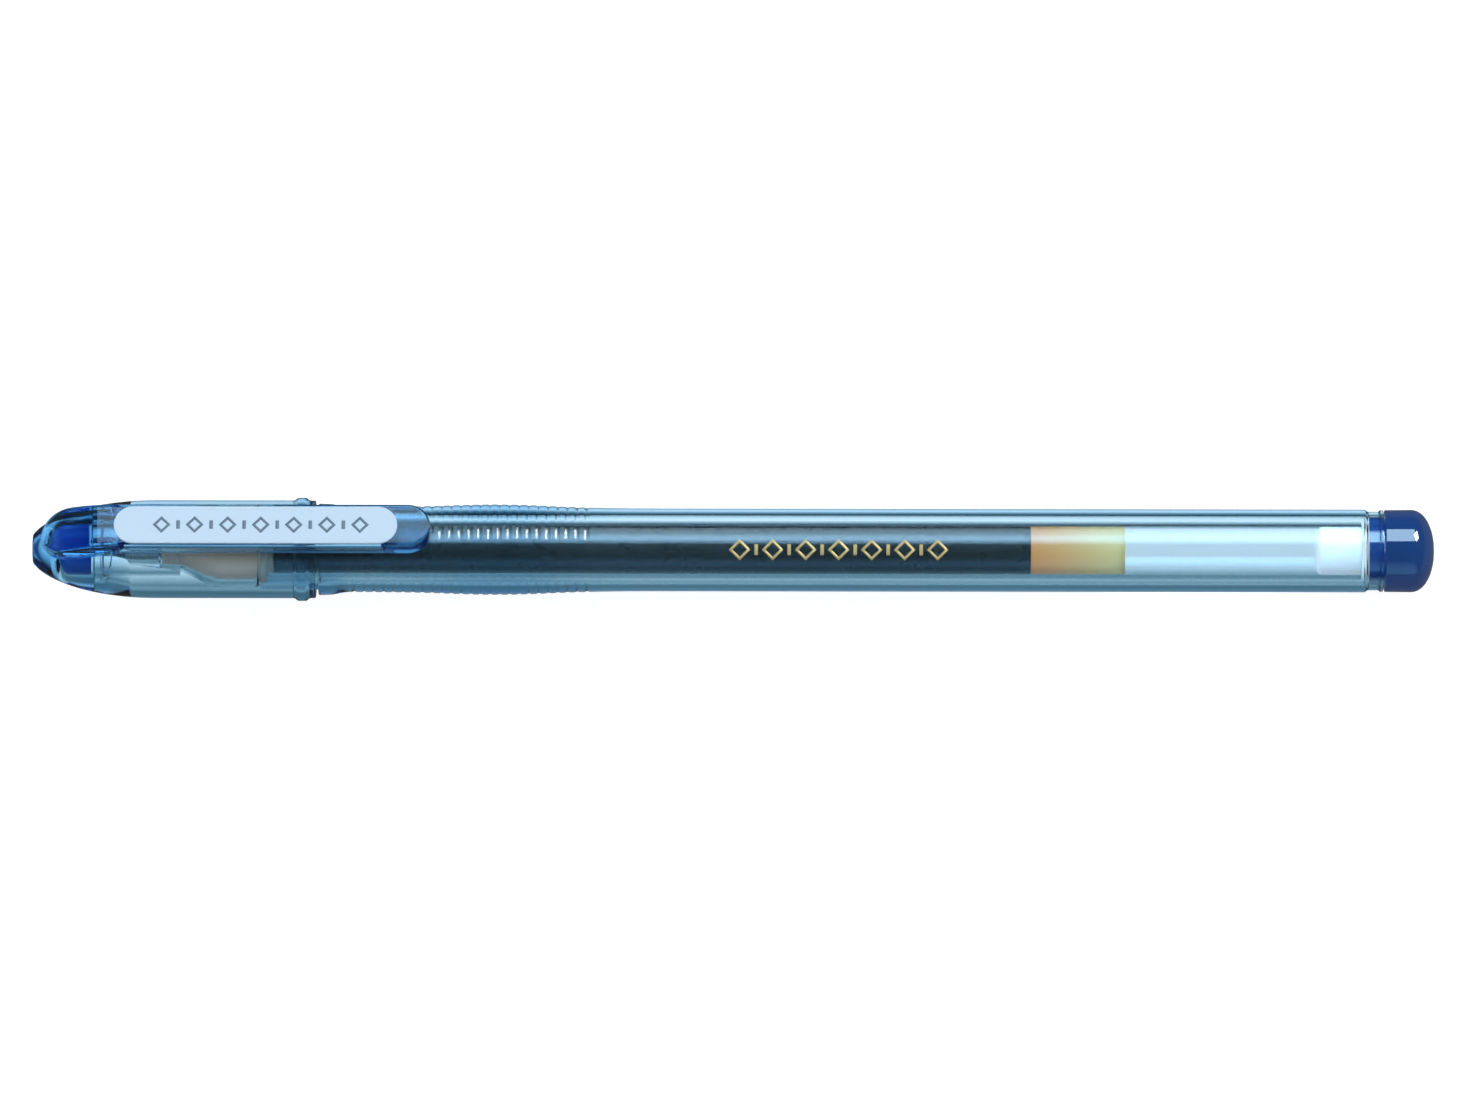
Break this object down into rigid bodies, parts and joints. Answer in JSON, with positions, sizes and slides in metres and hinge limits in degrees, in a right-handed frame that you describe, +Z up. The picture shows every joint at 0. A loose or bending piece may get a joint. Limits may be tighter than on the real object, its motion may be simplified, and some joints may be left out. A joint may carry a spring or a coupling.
{
  "type": "gel pen",
  "caption": "Capped gel pen with a clear barrel, visible ink refill, ringed grip, push-on cap with a labelled clip and a rounded end plug.",
  "frame": {"origin": "under the middle of the pen's length, on the surface its cap's bead rests on", "axes": "+X from the cap along the pen's axis to the end plug, +Z straight up through the clip, +Y across"},
  "size_m": [0.149, 0.011, 0.0126],
  "materials": {
    "cap_plastic": "gloss",
    "clip_plastic": "gloss",
    "label": "satin",
    "clear_plastic": "gloss",
    "deep_blue_plastic": "gloss",
    "barrel_plastic": "gloss",
    "holder_plastic": "satin",
    "steel": "polished",
    "tube_plastic": "gloss",
    "ink": "gloss",
    "follower": "gloss",
    "tail_plastic": "satin"
  },
  "bodies": {
    "pen": {"barrel": "barrel_plastic", "end_plug": "deep_blue_plastic", "nose_cone": "clear_plastic", "tip_holder": "holder_plastic", "writing_point": "steel", "ink_tube": "tube_plastic", "ink_column": "ink", "tail_plug": "tail_plastic"},
    "cap": {"cap_shell": "cap_plastic", "cap_seal": "deep_blue_plastic", "inner_cap": "clear_plastic"},
    "clip_arm": {"clip": "clip_plastic", "clip_label": "label"},
    "ball": {"writing_ball": "steel"},
    "follower": {"ink_follower": "follower"}
  },
  "joints": [
    {"name": "cap_pull", "type": "slide", "parent": "pen", "child": "cap", "axis": [-1, 0, 0], "range_m": [0, 0.04]},
    {"name": "clip_flex", "type": "hinge", "parent": "cap", "child": "clip_arm", "pos_m": [-0.0663, 0, 0.01209], "axis": [0, -1, 0], "range_deg": [0, 5], "stiffness_Nm_per_rad": 0.9},
    {"name": "ball_roll", "type": "hinge", "parent": "pen", "child": "ball", "pos_m": [-0.0674, 0, 0.00549], "axis": [0, 1, 0], "continuous": true},
    {"name": "ink_use", "type": "slide", "parent": "pen", "child": "follower", "axis": [-1, 0, 0], "range_m": [0, 0.079], "deforming": ["ink_column"]}
  ]
}
